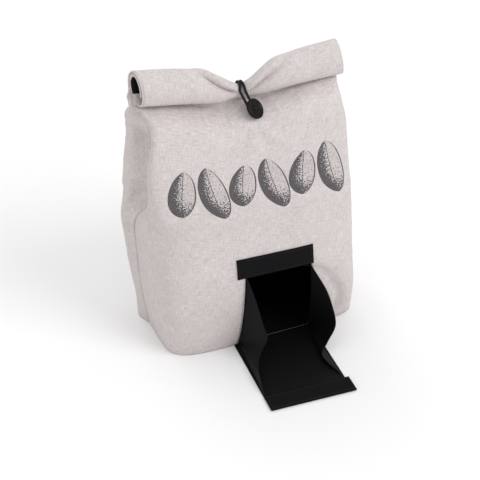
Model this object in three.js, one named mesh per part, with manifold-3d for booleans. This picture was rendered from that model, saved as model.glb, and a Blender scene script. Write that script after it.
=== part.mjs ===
import * as THREE from 'three';
import { mergeVertices } from 'three/addons/utils/BufferGeometryUtils.js';
import Module from 'manifold-3d';

// Roll-top storage bag standing on its flat base, filled out, with its front hatch folded open.
// Millimetres. X runs to the right, -Y is the front, Z = 0 is the surface it stands on,
// and the origin is the middle of the base.

// Driving dimensions
const bagWidth = 250;
const bagDepth = 125;
const neckHeight = 334; // floor to where the layers meet under the roll's ends
const linenThick = 1.0;
const liningThick = 1.0;
const gap = 0.3; // clearance between pieces that touch

const rollTall = 47; // outside of the roll, bottom to top
const rollDeep = 29; // outside of the roll, front to back
const rollTurn = 540; // degrees of turn from the neck to the mouth
const rollRise = 19; // middle of the roll above the neck
const rollForward = 13; // middle of the roll in front of the bag's middle
const rollLean = 12; // degrees that the roll's top leans back
const rollLeftIn = 4; // how far the roll's left end stands in from the neck's
const rollLeftBack = 10.5; // how far the left end's back stands out past its front
const rollRightTop = 7; // how far the right end's top stands in from its bottom
const rollEndRun = 30; // how far in from both ends that fades out
const pinchDrop = 30.5; // how far the loop pulls the roll's middle down
const pinchDeep = 18; // outside of the pinched roll, front to back
const pinchForward = 4; // middle of the pinched roll in front of the bag's middle
const pinchTurn = 355; // degrees of turn left where the roll is pinched
const rollSlack = 0.8; // space between the roll's turns
const neckForward = 5; // neck's ends in front of the bag's middle
const neckSag = 24; // how far the neck dips at the pinch

const hatchHeight = 114.5;
const hatchTopWidth = 87;
const hatchBaseWidth = 97;
const hatchMiddle = 20.5; // hatch's middle, to the right of the bag's middle

const stripLength = 99;
const stripHeight = 25;
const stripThick = 1.8;
const stripLap = 1; // strip's lower edge below the hatch's top
const stripMiddle = 16.5;

const chuteWidth = 106;
const chuteLength = 130;
const chuteThick = 1.2;
const flapStripWidth = 25;
const flapStripOverhang = 4;
const gussetThick = 1.0;

const buttonDiameter = 25;
const buttonThick = 4;
const buttonRim = 2.4; // width of the raised rim
const buttonDish = 1; // depth of the face inside the rim
const buttonHole = 2;
const buttonHoleCircle = 6;
const buttonLift = 10; // panel to the button's middle
const shankDiameter = 3.6;

const cordDiameter = 3.4;
const tabWidth = 16;
const tabHeight = 20;
const tabThick = 1.5;

const halfWidth = bagWidth / 2;
const halfDepth = bagDepth / 2;
const liningFoot = linenThick + gap; // lining's lower edge above the floor
const wallThick = linenThick + gap + liningThick;
const rollStack = 2 * linenThick + liningThick + 2 * gap;
const rollPitch = rollStack + rollSlack;

// Sections of the filled bag, from the base up. height is a share of neckHeight, x values are
// shares of halfWidth and y values shares of halfDepth. The seams are where the front and back
// panels meet at each side; wide is how far the back panel bulges past them; nip narrows the
// front towards its corners; skew turns the front face; square is how sharp the corners are.
const sectionColumns = [
  'height', 'seamLeft', 'seamRight', 'wideLeft', 'wideRight', 'seamDepth',
  'front', 'back', 'nipLeft', 'nipRight', 'skew', 'square', 'squareBack',
];
const sectionTable = [
  [0.00, 0.95, 1.06, 1.02, 1.08, 0.20, 1.06, 1.00, 0.03, -0.09, 0.11, 6.2, 4.8],
  [0.06, 0.97, 1.07, 1.02, 1.10, 0.29, 1.18, 1.14, 0.03, -0.07, 0.10, 6.0, 4.4],
  [0.18, 1.00, 1.08, 1.05, 1.12, 0.40, 1.31, 1.26, 0.02, -0.05, 0.06, 5.4, 4.0],
  [0.33, 1.02, 1.08, 1.10, 1.12, 0.40, 1.32, 1.27, 0.01, -0.04, 0.03, 4.4, 3.6],
  [0.45, 1.04, 1.08, 1.13, 1.10, 0.33, 1.20, 1.22, 0.00, -0.04, 0.00, 4.0, 3.9],
  [0.53, 1.03, 1.07, 1.13, 1.09, 0.08, 1.13, 1.15, 0.00, -0.03, 0.00, 3.8, 4.3],
  [0.58, 0.985, 1.05, 1.13, 1.07, -0.14, 1.10, 1.10, 0.00, -0.03, 0.00, 3.8, 4.7],
  [0.64, 0.985, 1.02, 1.13, 1.05, -0.33, 1.04, 1.04, 0.00, -0.02, 0.00, 3.6, 5.2],
  [0.75, 1.00, 0.99, 1.11, 1.02, -0.45, 0.93, 0.93, 0.00, 0.00, 0.00, 3.4, 5.6],
  [0.82, 0.99, 0.97, 1.10, 1.00, -0.48, 0.84, 0.85, 0.00, 0.00, 0.00, 3.3, 5.6],
  [0.86, 0.965, 0.96, 1.10, 0.99, -0.44, 0.78, 0.80, 0.00, 0.00, 0.00, 3.2, 5.6],
  [0.93, 0.955, 0.92, 1.12, 0.96, -0.34, 0.62, 0.64, 0.00, 0.00, 0.00, 3.0, 5.2],
  [0.975, 0.99, 0.91, 1.11, 0.94, -0.17, 0.43, 0.42, 0.00, 0.00, 0.00, 2.8, 4.0],
  [1.00, 1.06, 0.94, 1.06, 0.94, 0.00, 0.00, 0.00, 0.00, 0.00, 0.00, 2.6, 2.6],
];

// The pinched roll along its length, which runs from -1 at its left end to 1. drop, squeeze and
// sag are shares of pinchDrop, of the way to the pinched size and of neckSag.
const pinchColumns = ['along', 'drop', 'squeeze', 'sag'];
const pinchTable = [
  [-1.00, -0.12, 0.00, 0.00],
  [-0.71, 0.02, 0.02, 0.22],
  [-0.51, 0.15, 0.05, 0.45],
  [-0.35, 0.29, 0.10, 0.70],
  [-0.16, 0.60, 0.42, 1.00],
  [-0.04, 0.79, 0.82, 0.90],
  [0.05, 0.91, 1.00, 0.80],
  [0.13, 0.83, 0.85, 0.84],
  [0.26, 0.55, 0.45, 0.86],
  [0.36, 0.36, 0.24, 0.72],
  [0.52, 0.20, 0.10, 0.48],
  [0.75, 0.08, 0.03, 0.22],
  [0.94, 0.02, 0.01, 0.05],
  [1.00, 0.00, 0.00, 0.00],
];

// Free edge of each folded side of the open hatch, from the hatch's top to the front of the
// tongue. out is a share of chuteWidth towards the outside of the tongue's edge, forward a share
// of chuteLength in front of the hinge and up a share of hatchHeight.
const gussetColumns = ['out', 'forward', 'up'];
const leftEdgeTable = [
  [-0.12, 0.12, 0.97], [-0.17, 0.22, 0.72], [-0.21, 0.31, 0.49], [-0.24, 0.37, 0.34],
  [-0.17, 0.37, 0.20], [-0.09, 0.45, 0.12], [-0.04, 0.61, 0.075], [-0.01, 0.80, 0.03],
];
const rightEdgeTable = [
  [-0.14, 0.13, 0.97], [0.02, 0.25, 0.72], [0.09, 0.33, 0.49], [0.09, 0.41, 0.305],
  [-0.01, 0.43, 0.12], [-0.11, 0.49, 0.05], [-0.12, 0.61, 0.04], [-0.02, 0.80, 0.03],
];

const linen = new THREE.MeshStandardMaterial({ color: 0xd2cac8, roughness: 0.9, metalness: 0 });
const black = new THREE.MeshStandardMaterial({ color: 0x17171a, roughness: 0.85, metalness: 0 });
const tape = new THREE.MeshStandardMaterial({ color: 0x101012, roughness: 0.95, metalness: 0 });
const horn = new THREE.MeshStandardMaterial({ color: 0x1d1716, roughness: 0.35, metalness: 0 });
const thread = new THREE.MeshStandardMaterial({ color: 0x141414, roughness: 0.8, metalness: 0 });

const lerp = THREE.MathUtils.lerp;
const smooth = THREE.MathUtils.smoothstep;
const radians = THREE.MathUtils.degToRad;

// Smooth reading of a table whose first column is what it is read by.
function tableReader(columns, rows) {
  const keys = rows.map((row) => row[0]);
  const curve = new THREE.CubicInterpolant(keys, rows.flatMap((row) => row.slice(1)), columns.length - 1);
  const first = keys[0];
  const last = keys[keys.length - 1];
  return (at) => {
    const values = curve.evaluate(THREE.MathUtils.clamp(at, first, last));
    return Object.fromEntries(columns.slice(1).map((name, i) => [name, values[i]]));
  };
}
const sectionShares = tableReader(sectionColumns, sectionTable);
const pinchShares = tableReader(pinchColumns, pinchTable);

const neckSection = sectionShares(1);
const neckLeft = -halfWidth * neckSection.seamLeft;
const neckRight = halfWidth * neckSection.seamRight;
const neckLength = neckRight - neckLeft;

function pinchAt(x) {
  const shares = pinchShares((2 * (x - neckLeft)) / neckLength - 1);
  shares.squeeze = THREE.MathUtils.clamp(shares.squeeze, 0, 1);
  return shares;
}

// Half of the space that both walls take where the seam closes towards the flat neck.
function seamHalf(height) {
  const closing = smooth(height, 0.82 * neckHeight, neckHeight);
  return { half: wallThick * Math.sin((closing * Math.PI) / 2) + gap, closing };
}

// Outline of one panel at a height, seen from above: fine points from seam to seam, with the
// length run so far. The front runs from left to right and the back from right to left.
const outlines = new Map();
function outline(side, height) {
  const key = `${side} ${height}`;
  if (outlines.has(key)) return outlines.get(key);
  const row = sectionShares(height / neckHeight);
  const front = side === 'front';
  const { half } = seamHalf(height);
  const left = halfWidth * row.seamLeft;
  const right = halfWidth * row.seamRight;
  const middle = (right - left) / 2;
  const bulge = front
    ? halfDepth * (row.front + row.seamDepth)
    : halfDepth * (row.back - row.seamDepth);
  const power = 2 / (front ? row.square : row.squareBack);
  const steps = 120;
  const points = [];
  let run = 0;
  for (let i = 0; i <= steps; i += 1) {
    const angle = (Math.PI * i) / steps;
    const across = -Math.sign(Math.cos(angle)) * Math.abs(Math.cos(angle)) ** power;
    const deep = Math.abs(Math.sin(angle)) ** power;
    const toLeft = front ? across < 0 : across > 0;
    const seam = toLeft ? left + middle : right - middle;
    const wide = toLeft ? halfWidth * row.wideLeft + middle : halfWidth * row.wideRight - middle;
    const nip = toLeft ? row.nipLeft : row.nipRight;
    const reach = front ? seam * (1 - nip * deep) : lerp(seam, wide, smooth(deep, 0, 0.35));
    const x = middle + (toLeft ? -1 : 1) * Math.abs(across) * reach;
    const turn = halfDepth * row.skew * (x / halfWidth) * deep;
    const seamY = halfDepth * row.seamDepth;
    const y = front ? seamY - half - bulge * deep + turn : seamY + half + bulge * deep;
    if (i > 0) run += Math.hypot(x - points[i - 1].x, y - points[i - 1].y);
    points.push({ x, y, run });
  }
  outlines.set(key, points);
  return points;
}

function pointAtShare(side, height, share) {
  const points = outline(side, height);
  const run = share * points[points.length - 1].run;
  let i = 1;
  while (i < points.length - 1 && points[i].run < run) i += 1;
  const part = (run - points[i - 1].run) / Math.max(points[i].run - points[i - 1].run, 1e-9);
  return {
    x: lerp(points[i - 1].x, points[i].x, part),
    y: lerp(points[i - 1].y, points[i].y, part),
  };
}

// Share of the front or back panel's width at which it crosses an x.
function shareAtX(side, height, x) {
  const points = outline(side, height);
  const sign = side === 'front' ? 1 : -1;
  let i = 1;
  while (i < points.length - 1 && sign * points[i].x < sign * x) i += 1;
  const part = (x - points[i - 1].x) / (points[i].x - points[i - 1].x);
  return lerp(points[i - 1].run, points[i].run, part) / points[points.length - 1].run;
}

// How far the sagging neck draws a point down and forward.
function sagged(x, y, height) {
  const share = smooth(height, 0.6 * neckHeight, neckHeight);
  const { squeeze, sag } = pinchAt(x);
  const forward = neckForward * (1 - squeeze) * share;
  return new THREE.Vector3(x, y - forward, height - neckSag * sag * share);
}

function facePoint(side, height, share) {
  const { x, y } = pointAtShare(side, height, share);
  return sagged(x, y, height);
}

// Direction out of the cloth. At the seams it turns from sideways to front or back at the neck.
function faceNormal(side, height, share) {
  const towards = side === 'front' ? -1 : 1;
  if (share < 1e-6 || share > 1 - 1e-6) {
    const turn = (seamHalf(height).closing * Math.PI) / 2;
    const sideways = (share < 0.5 ? -1 : 1) * (side === 'front' ? 1 : -1);
    return new THREE.Vector3(sideways * Math.cos(turn), towards * Math.sin(turn), 0);
  }
  const step = 0.01;
  const rise = 2;
  const low = Math.max(height - rise, 0);
  const high = Math.min(height + rise, neckHeight);
  const across = facePoint(side, height, Math.min(share + step, 1))
    .sub(facePoint(side, height, Math.max(share - step, 0)));
  const upwards = facePoint(side, high, share).sub(facePoint(side, low, share));
  const normal = across.cross(upwards);
  if (height < rise) normal.z = 0;
  if (height >= neckHeight) normal.set(0, towards, 0);
  return normal.normalize();
}

// Point of the bag's wall: depth is measured inwards from the linen's outer face.
function wallPoint(side, height, share, depth) {
  return facePoint(side, height, share).addScaledVector(faceNormal(side, height, share), -depth);
}

// Middle line of the rolled layers above one point of the neck, and its normal into the roll.
function rollPoint(x, turnShare, intoRoll) {
  const { squeeze, drop } = pinchAt(x);
  const startAngle = -30;
  const turned = turnShare * lerp(rollTurn, pinchTurn, squeeze);
  const pinchTall = 2 * 1.85 * rollPitch + rollStack;
  const tall = (lerp(rollTall, pinchTall, squeeze) - rollStack) / 2;
  const deep = (lerp(rollDeep, pinchDeep, squeeze) - rollStack) / 2;
  const lean = radians(rollLean * (1 - squeeze));
  const middleY = -lerp(rollForward, pinchForward, squeeze);
  const middleZ = neckHeight + rollRise - pinchDrop * drop;
  const at = (degrees) => {
    const inwards = (rollPitch * degrees) / 360;
    const angle = radians(startAngle + degrees);
    const y = (deep - inwards) * Math.cos(angle);
    const z = (tall - inwards) * Math.sin(angle);
    return [
      middleY + y * Math.cos(lean) + z * Math.sin(lean),
      middleZ - y * Math.sin(lean) + z * Math.cos(lean),
    ];
  };
  const [y, z] = at(turned);
  const [aheadY, aheadZ] = at(turned + 1);
  const nearLeft = 1 - smooth(x, neckLeft, neckLeft + rollEndRun);
  const nearRight = smooth(x, neckRight - rollEndRun, neckRight);
  const shift = nearLeft * (rollLeftIn - (rollLeftBack * (y - middleY)) / rollDeep)
    - (nearRight * rollRightTop * (z - middleZ)) / rollTall;
  const length = Math.hypot(aheadY - y, aheadZ - z);
  return new THREE.Vector3(
    x + shift,
    y - (intoRoll * (aheadZ - z)) / length,
    z + (intoRoll * (aheadY - y)) / length,
  );
}

// Closed solid of a sheet: a grid of cells between two depths, without the cells left out. A
// mirrored sheet has its cells cut along the other diagonal, to lie flat on its opposite.
function sheet(columns, rows, place, near, far, { keeps = () => true, mirrored = false } = {}) {
  const positions = [];
  const numbers = new Map();
  const faces = [];
  const vertex = (i, j, depth) => {
    const key = `${i} ${j} ${depth}`;
    if (!numbers.has(key)) {
      numbers.set(key, positions.length / 3);
      positions.push(...place(i, j, depth).toArray());
    }
    return numbers.get(key);
  };
  const quad = (a, b, c, d) => faces.push(a, b, c, a, c, d);
  const kept = (i, j) => i >= 0 && j >= 0 && i < columns && j < rows && keeps(i, j);
  for (let i = 0; i < columns; i += 1) {
    for (let j = 0; j < rows; j += 1) {
      if (!kept(i, j)) continue;
      const ring = [[i, j], [i + 1, j], [i + 1, j + 1], [i, j + 1]];
      const beyond = [[i, j - 1], [i + 1, j], [i, j + 1], [i - 1, j]];
      const [a, b, c, d] = ring.map(([p, q]) => vertex(p, q, near));
      const [e, f, g, h] = ring.map(([p, q]) => vertex(p, q, far));
      if (mirrored) {
        quad(b, c, d, a);
        quad(h, g, f, e);
      } else {
        quad(a, b, c, d);
        quad(e, h, g, f);
      }
      beyond.forEach(([p, q], k) => {
        if (kept(p, q)) return;
        const from = ring[k];
        const to = ring[(k + 1) % 4];
        quad(vertex(...to, near), vertex(...from, near), vertex(...from, far), vertex(...to, far));
      });
    }
  }
  const geometry = new THREE.BufferGeometry();
  geometry.setAttribute('position', new THREE.Float32BufferAttribute(positions, 3));
  geometry.setIndex(faces);
  return geometry;
}

// Grid of the body panels: columns across each panel and rows up to the neck and round the roll.
const sideColumns = 6;
const hatchColumns = 4;
const panelColumns = 2 * sideColumns + hatchColumns;
const hatchRows = 6;
const bodyRows = 17;
const rollRows = 19;

function hatchSide(height, sign) {
  const share = Math.min(height / hatchHeight, 1);
  return hatchMiddle + (sign * lerp(hatchBaseWidth, hatchTopWidth, share)) / 2;
}

// Rows lie closer together towards the neck, and the second is where the lining starts.
function rowHeight(row) {
  if (row === 0) return 0;
  if (row <= hatchRows) return lerp(liningFoot, hatchHeight, (row - 1) / (hatchRows - 1));
  const share = (row - hatchRows) / (bodyRows - hatchRows);
  return lerp(hatchHeight, neckHeight, 1 - (1 - share) ** 1.5);
}

// Share of the neck's length at a column counted from the left: they lie closest at the pinch.
function neckShare(column) {
  const even = column / panelColumns;
  return even + 0.026 * Math.sin(Math.PI * even) + 0.03 * Math.sin(2 * Math.PI * even);
}

// How far the columns have turned from their places low down to their places at the neck.
function towardsNeck(height) {
  return smooth(height, 0.55 * neckHeight, neckHeight);
}

// Columns of the front follow the hatch's edges low down.
function frontShare(column, height) {
  const left = shareAtX('front', height, hatchSide(height, -1));
  const right = shareAtX('front', height, hatchSide(height, 1));
  let share = lerp(left, right, (column - sideColumns) / hatchColumns);
  if (column < sideColumns) share = lerp(0, left, column / sideColumns);
  if (column > sideColumns + hatchColumns) {
    share = lerp(right, 1, (column - sideColumns - hatchColumns) / sideColumns);
  }
  return lerp(share, neckShare(column), towardsNeck(height));
}

// The back runs from right to left, and its columns meet those of the front at the neck.
function backShare(column, height) {
  return lerp(column / panelColumns, 1 - neckShare(panelColumns - column), towardsNeck(height));
}

// Place of a panel's grid point, in the wall up to the neck and in the roll above it.
function panelPlace(side) {
  const front = side === 'front';
  const shareAt = front ? frontShare : backShare;
  return (column, row, depth) => {
    if (row <= bodyRows) {
      const height = rowHeight(row);
      return wallPoint(side, height, shareAt(column, height), depth);
    }
    const share = shareAt(column, neckHeight);
    const x = front ? lerp(neckLeft, neckRight, share) : lerp(neckRight, neckLeft, share);
    const towards = front ? 1 : -1;
    return rollPoint(x, (row - bodyRows - 1) / (rollRows - 1), towards * (rollStack / 2 - depth));
  };
}

function keepsHatchOpen(column, row) {
  const beside = column < sideColumns || column >= sideColumns + hatchColumns;
  return beside || row >= hatchRows;
}

function linenPanel(side) {
  const front = side === 'front';
  const keeps = front ? keepsHatchOpen : undefined;
  const cells = { keeps, mirrored: !front };
  return sheet(panelColumns, bodyRows + rollRows, panelPlace(side), 0, linenThick, cells);
}

// The back of the lining runs on into the roll; its front stops at the neck.
function liningPanel(side) {
  const front = side === 'front';
  const rows = front ? bodyRows : bodyRows + rollRows;
  const keeps = (column, row) => row > 0 && (!front || keepsHatchOpen(column, row));
  const cells = { keeps, mirrored: !front };
  return sheet(panelColumns, rows, panelPlace(side), linenThick + gap, wallThick, cells);
}

// Flat plate inside the walls, at a depth from the linen's outer face.
function floorPlate(bottom, thick, depth) {
  const place = (side) => Array.from({ length: panelColumns + 1 }, (_, i) => {
    const shareAt = side === 'front' ? frontShare : backShare;
    return wallPoint(side, bottom, shareAt(i, bottom), depth);
  });
  const ring = [...place('front'), ...place('back')];
  const shape = new THREE.Shape(ring.map((point) => new THREE.Vector2(point.x, point.y)));
  const geometry = new THREE.ExtrudeGeometry(shape, { depth: thick, bevelEnabled: false });
  return geometry.translate(0, 0, bottom);
}

// Point on or outside a panel at an x and a height.
function panelPoint(side, x, height, outwards) {
  return wallPoint(side, height, shareAtX(side, height, x), -outwards);
}

// Flat patch that follows a panel, such as the strip or the tab.
function patch(side, middle, width, low, high, thick, seat, columns, rows) {
  const sign = side === 'front' ? 1 : -1;
  const place = (i, j, outwards) => {
    const x = middle + sign * width * (i / columns - 0.5);
    return panelPoint(side, x, lerp(low, high, j / rows), outwards);
  };
  return sheet(columns, rows, place, seat + thick, seat);
}

const stripBottom = hatchHeight - stripLap;
const chuteLeft = hatchMiddle - chuteWidth / 2;
const chuteRight = hatchMiddle + chuteWidth / 2;
const hingeLeft = panelPoint('front', chuteLeft, chuteThick, gap);
const hingeRight = panelPoint('front', chuteRight, chuteThick, gap);
const chuteFront = Math.min(hingeLeft.y, hingeRight.y) - chuteLength;

function chuteFloor() {
  const shape = new THREE.Shape([
    new THREE.Vector2(chuteLeft, hingeLeft.y),
    new THREE.Vector2(chuteLeft, chuteFront),
    new THREE.Vector2(chuteRight, chuteFront),
    new THREE.Vector2(chuteRight, hingeRight.y),
  ]);
  return new THREE.ExtrudeGeometry(shape, { depth: chuteThick, bevelEnabled: false });
}

function flapStrip() {
  const width = chuteWidth + flapStripOverhang;
  const geometry = new THREE.BoxGeometry(width, flapStripWidth, stripThick);
  return geometry.translate(
    chuteLeft + width / 2,
    chuteFront - 1 + flapStripWidth / 2,
    chuteThick + gap + stripThick / 2,
  );
}

// Folded side of the open hatch: a fan of cloth from the hinge's corner to its free edge,
// stitched along the hatch's edge and along the tongue's edge.
function chuteGusset(sign, edgeTable) {
  const rest = chuteThick + gap + gussetThick;
  const corner = new THREE.Vector3(
    hatchSide(0, sign) - sign * (gap + gussetThick),
    (sign < 0 ? hingeLeft : hingeRight).y - gussetThick,
    rest,
  );
  const edge = edgeTable.map((row) => {
    const [out, forward, up] = gussetColumns.map((name, i) => row[i]);
    return new THREE.Vector3(
      hatchMiddle + sign * (chuteWidth / 2 + out * chuteWidth),
      corner.y - forward * chuteLength,
      rest + up * hatchHeight,
    );
  });
  const top = edge[0];
  top.copy(panelPoint('front', hatchSide(top.z, sign) - sign * (gap + gussetThick), top.z, -gussetThick / 2));
  const columns = edge.length - 1;
  const rows = 6;
  const nearest = 0.06;
  const middle = (column, row) => {
    const run = lerp(nearest, 1, row / rows);
    const point = corner.clone().lerp(edge[column], run);
    const stitched = panelPoint(
      'front', hatchSide(lerp(rest, top.z, run), sign) - sign * (gap + gussetThick),
      lerp(rest, top.z, run), -gussetThick / 2,
    );
    const straight = corner.clone().lerp(top, run);
    return point.addScaledVector(stitched.sub(straight), (1 - column / columns) ** 2);
  };
  const place = (column, row, depth) => {
    const back = Math.max(column - 1, 0);
    const ahead = Math.min(column + 1, columns);
    const across = middle(ahead, row).sub(middle(back, row));
    const along = middle(column, Math.min(row + 1, rows)).sub(middle(column, Math.max(row - 1, 0)));
    return middle(column, row).addScaledVector(across.cross(along).normalize(), sign * depth);
  };
  return sheet(columns, rows, place, gussetThick / 2 * sign, -gussetThick / 2 * sign);
}

// Button, its shank and the loop share one frame: out of the button's face, down its face away
// from the roll, and across.
const buttonX = 2;
const buttonHeight = 0.98 * neckHeight;
const buttonSeat = panelPoint('front', buttonX, buttonHeight, 2 * gap);
const buttonOut = new THREE.Vector3(0.48, -0.62, 0.62).normalize();
const buttonMiddle = buttonSeat.clone().addScaledVector(buttonOut, buttonLift);
const buttonDown = new THREE.Vector3(0.2, -0.75, -0.6)
  .addScaledVector(buttonOut, -new THREE.Vector3(0.2, -0.75, -0.6).dot(buttonOut)).normalize();
const buttonAcross = buttonOut.clone().cross(buttonDown);

function faceOutwards(geometry, from) {
  const turn = new THREE.Quaternion().setFromUnitVectors(new THREE.Vector3(0, 0, 1), buttonOut);
  geometry.applyQuaternion(turn);
  return geometry.translate(from.x, from.y, from.z);
}

const wasm = await Module();
wasm.setup();

function solid(geometry) {
  const plain = geometry.clone();
  plain.deleteAttribute('normal');
  plain.deleteAttribute('uv');
  const merged = mergeVertices(plain, 1e-4);
  return new wasm.Manifold(new wasm.Mesh({
    numProp: 3,
    vertProperties: new Float32Array(merged.attributes.position.array),
    triVerts: new Uint32Array(merged.index.array),
  }));
}

function fromSolid(body) {
  const mesh = body.getMesh();
  const geometry = new THREE.BufferGeometry();
  geometry.setAttribute('position', new THREE.BufferAttribute(mesh.vertProperties, 3));
  geometry.setIndex(new THREE.BufferAttribute(mesh.triVerts, 1));
  return geometry;
}

function button() {
  const radius = buttonDiameter / 2;
  const half = buttonThick / 2;
  const soft = 0.8;
  const profile = [
    [0, -half], [radius - 2 * soft, -half], [radius, -half + 2 * soft], [radius, half - soft],
    [radius - soft, half], [radius - buttonRim, half], [radius - buttonRim - soft, half - buttonDish],
    [0, half - buttonDish],
  ];
  const disc = new THREE.LatheGeometry(profile.map(([r, z]) => new THREE.Vector2(r, z)), 28);
  disc.rotateX(Math.PI / 2);
  let body = solid(disc);
  for (let hole = 0; hole < 4; hole += 1) {
    const angle = ((hole + 0.5) * Math.PI) / 2;
    const drill = new THREE.CylinderGeometry(buttonHole / 2, buttonHole / 2, 2 * buttonThick, 10);
    drill.rotateX(Math.PI / 2);
    drill.translate((buttonHoleCircle / 2) * Math.cos(angle), (buttonHoleCircle / 2) * Math.sin(angle), 0);
    body = body.subtract(solid(drill));
  }
  return faceOutwards(fromSolid(body), buttonMiddle);
}

// Sewing thread wound into a short shank between the panel and the button.
function buttonShank() {
  const length = buttonLift - buttonThick / 2 - gap;
  const radius = shankDiameter / 2;
  const shank = new THREE.CylinderGeometry(radius, radius, length, 12);
  shank.rotateX(Math.PI / 2);
  return faceOutwards(shank, buttonSeat.clone().addScaledVector(buttonOut, length / 2));
}

const loopX = -1;
const tabTop = 0.93 * neckHeight;
const tabBottom = tabTop - tabHeight;

// Tube with a round section along a smooth curve.
function tube(points, diameter, steps) {
  const section = new THREE.Shape();
  section.absarc(0, 0, diameter / 2, 0, 2 * Math.PI);
  return new THREE.ExtrudeGeometry(section, {
    steps, curveSegments: 8, bevelEnabled: false, extrudePath: new THREE.CatmullRomCurve3(points),
  });
}

// Elastic loop: from the tab on the back over the pinched roll, round the shank and back.
function elasticLoop() {
  const clear = cordDiameter / 2 + gap;
  const overRollClear = clear + 2.4;
  const apart = cordDiameter / 2 + 0.2;
  const roundShank = shankDiameter / 2 + clear + 0.5;
  const shankLevel = buttonMiddle.clone().addScaledVector(buttonOut, -buttonThick / 2 - clear - 0.4);
  const overRoll = (x, degrees) => {
    const share = degrees / lerp(rollTurn, pinchTurn, pinchAt(x).squeeze);
    return rollPoint(x, share, -rollStack / 2 - overRollClear);
  };
  const upBack = (x, share) => panelPoint('back', x, share * neckHeight, overRollClear);
  const strand = (sign) => {
    const x = loopX + sign * apart;
    const back = [0.94, 0.96, 0.98].map((share) => upBack(x, share));
    const over = [15, 50, 85, 120].map((degrees) => overRoll(x, degrees));
    return [...back, ...over, overRoll(x + sign * 0.6, 155), overRoll(x + sign * 1.4, 190)];
  };
  const roundPoint = (degrees) => shankLevel.clone()
    .addScaledVector(buttonAcross, roundShank * Math.sin(radians(degrees)))
    .addScaledVector(buttonDown, roundShank * Math.cos(radians(degrees)));
  const round = [-110, -70, -35, 0, 35, 70, 110].map(roundPoint);
  return tube([...strand(-1), ...round, ...strand(1).reverse()], cordDiameter, 60);
}

const pieces = [
  ['front_panel', linenPanel('front'), linen],
  ['back_panel', linenPanel('back'), linen],
  ['base_panel', floorPlate(0, linenThick, linenThick + gap), linen],
  ['lining_front', liningPanel('front'), black],
  ['lining_back', liningPanel('back'), black],
  ['lining_base', floorPlate(linenThick + gap, liningThick, wallThick + gap), black],
  ['front_strip', patch('front', stripMiddle, stripLength, stripBottom, stripBottom + stripHeight,
    stripThick, gap, 6, 2), tape],
  ['chute_floor', chuteFloor(), black],
  ['chute_gusset_left', chuteGusset(-1, leftEdgeTable), black],
  ['chute_gusset_right', chuteGusset(1, rightEdgeTable), black],
  ['flap_strip', flapStrip(), tape],
  ['button', button(), horn],
  ['button_thread', buttonShank(), thread],
  ['elastic_loop', elasticLoop(), black],
  ['loop_tab', patch('back', loopX, tabWidth, tabBottom, tabTop, tabThick, 2 * gap, 2, 3), linen],
];

const bag = new THREE.Group();
for (const [name, geometry, material] of pieces) {
  const mesh = new THREE.Mesh(geometry, material);
  mesh.name = name;
  bag.add(mesh);
}

export default bag;
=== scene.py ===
import bisect
import math

import bmesh
import bpy
from mathutils import Matrix, Vector, noise


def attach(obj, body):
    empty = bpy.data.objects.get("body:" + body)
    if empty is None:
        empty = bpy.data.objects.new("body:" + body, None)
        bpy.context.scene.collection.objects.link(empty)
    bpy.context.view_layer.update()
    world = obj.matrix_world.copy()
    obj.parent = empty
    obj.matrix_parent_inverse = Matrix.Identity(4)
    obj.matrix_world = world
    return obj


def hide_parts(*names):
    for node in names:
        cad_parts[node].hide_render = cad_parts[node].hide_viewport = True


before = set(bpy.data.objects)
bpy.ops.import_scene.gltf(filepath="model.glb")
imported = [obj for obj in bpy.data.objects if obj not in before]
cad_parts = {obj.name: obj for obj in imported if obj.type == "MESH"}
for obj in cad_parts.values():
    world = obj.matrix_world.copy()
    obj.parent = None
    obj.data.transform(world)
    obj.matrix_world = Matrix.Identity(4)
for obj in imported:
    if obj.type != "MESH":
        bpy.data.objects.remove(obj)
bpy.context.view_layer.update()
mm = 0.001
print("frame loaded")

# Sizes in millimetres, as the frame has them. X is to the right, -Y the front, Z up.

bag = {
    "halfWidth": 125,
    "halfDepth": 62.5,
    "neck": 334,
    "linen": 0.9,
    "lining": 0.5,
    "liningDepth": 1.3,  # linen's outer face to the lining's
    "liningFoot": 1.6,  # height of the lining's lower edge
    "waviness": 1.0,  # height of the broad waves in the filled cloth
    "gathers": 1.5,  # height of the folds below the loop
    "tuckDepth": 14,  # how deep the left side sinks in behind its fold
    "closing": 0.82,  # share of the neck's height where the panels begin to close
    "seamGap": 2.3,  # half the distance between the panels where they meet at the neck
}

roll = {
    "tall": 47,
    "deep": 29,
    "pinchTall": 20,
    "pinchDeep": 18,
    "turns": 600,  # degrees
    "pitch": 3.1,  # how far one turn lies inside the last
    "stack": 2.6,  # thickness of the layers together
    "rise": 19,
    "forward": 13,
    "lean": 12,
    "pinchDrop": 30.5,
    "pinchForward": 4,
    "startAngle": -30,
    "neckForward": 5,
    "neckSag": 24,
    "groove": 10.0,  # depth of the folds that run into the pinch
    "linenTurns": 368,  # degrees of turn where the front linen stops; the back goes on. Past it the black lining lies bare inside the roll: real lining, and also a dark sheet put there as painted shade for the roll's shaded inside
    "leftIn": 4,  # how far the left end stands in from the neck's
    "leftBack": 10.5,  # how far the left end's back stands out past its front
    "rightTop": 7,  # how far the right end's top stands in from its bottom
    "endRun": 30,  # how far in from both ends that fades out
}

hatch = {"height": 114.5, "topWidth": 87, "baseWidth": 97, "middle": 20.5}

tape = {"length": 99, "height": 25, "thick": 1.8, "lap": 1, "middle": 16.5, "border": 2.2}

chute = {
    "width": 106,
    "length": 130,
    "thick": 1.2,  # the tongue's top above the floor
    "tongueWall": 1.1,
    "gusset": 1.0,  # room that a folded side takes
    "gussetWall": 0.8,
    "gap": 0.3,  # between cloths that lie on each other
    "tapeWidth": 25,
    "tapeOverhang": 4,
    "tapeAhead": 1,  # how far the tape stands out past the tongue's end
}

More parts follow.
